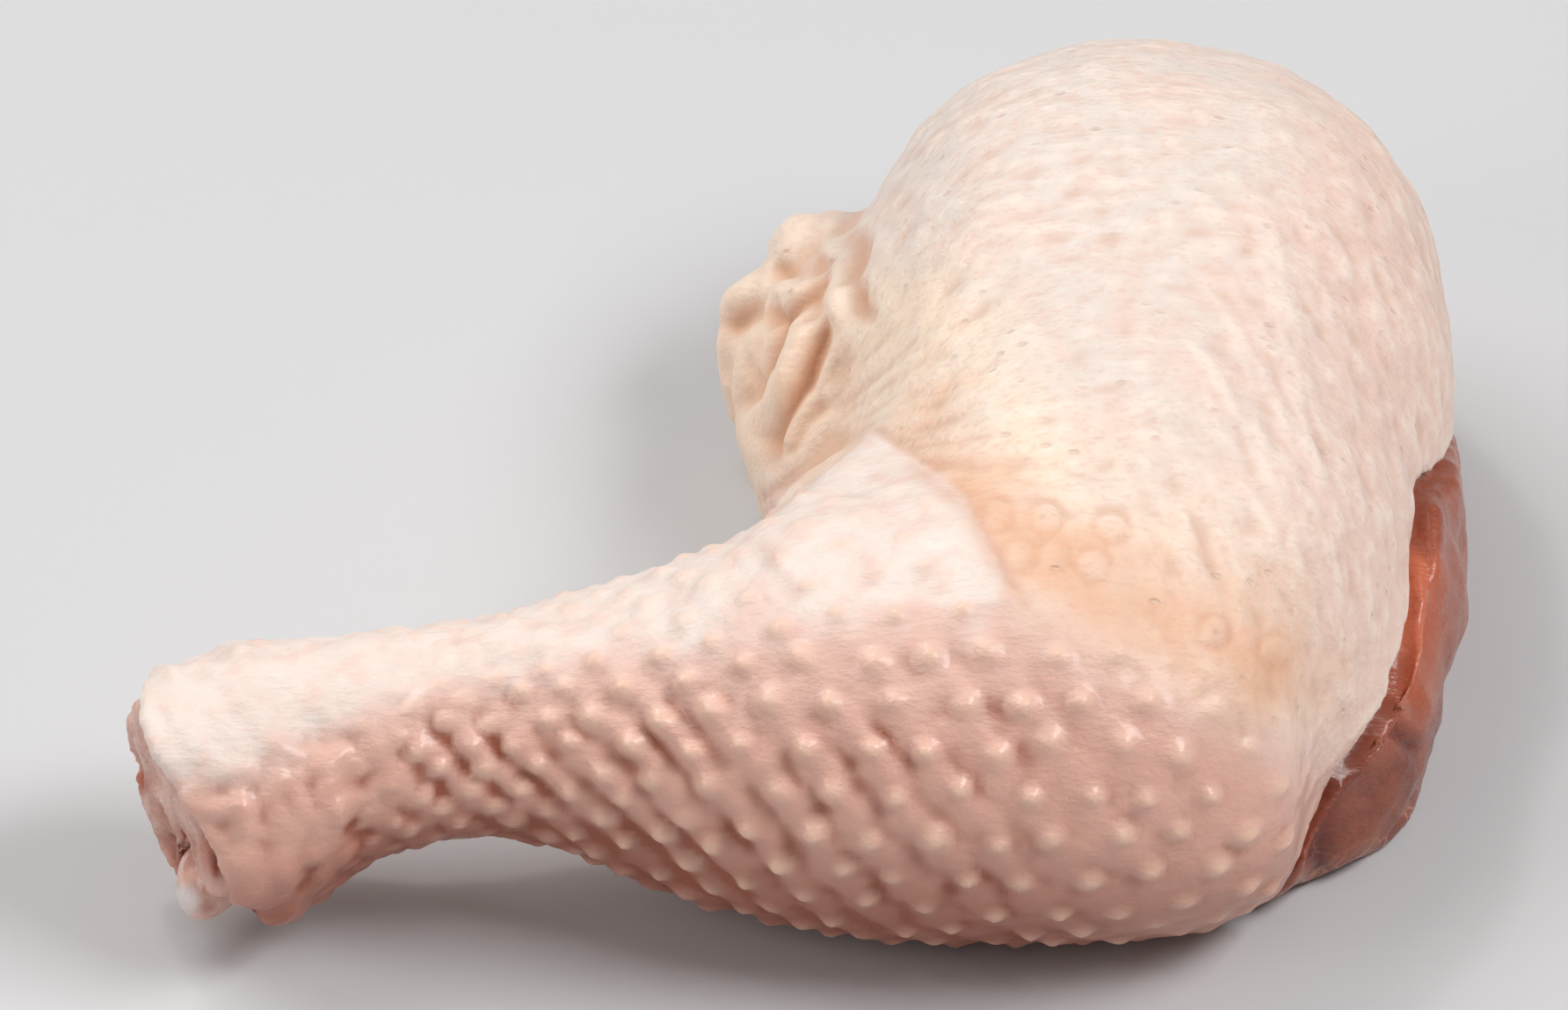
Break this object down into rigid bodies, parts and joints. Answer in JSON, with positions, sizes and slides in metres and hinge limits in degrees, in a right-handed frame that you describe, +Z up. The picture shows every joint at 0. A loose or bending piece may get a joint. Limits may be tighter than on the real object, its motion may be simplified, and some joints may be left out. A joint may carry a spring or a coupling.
{
  "type": "raw chicken leg quarter",
  "caption": "Raw chicken leg quarter, drumstick and thigh in one piece, skin side up, with trimmed skin, bare meat underneath and a cut hock end that shows the bone.",
  "frame": {"origin": "on the resting plane, under the middle of the leg's bounding box", "axes": "+X from the cut hock end of the drumstick to the knee, +Y from the drumstick to the back of the thigh, +Z up from the surface that it lies on"},
  "size_m": [0.1543, 0.1341, 0.0584],
  "materials": {
    "skin": "moist raw skin with raised feather follicles",
    "meat": "wet raw dark meat",
    "bone": "wet cartilage-coated bone end"
  },
  "bodies": {
    "root": {"skin": "skin", "meat": "meat", "shank_bone": "bone"}
  },
  "joints": []
}
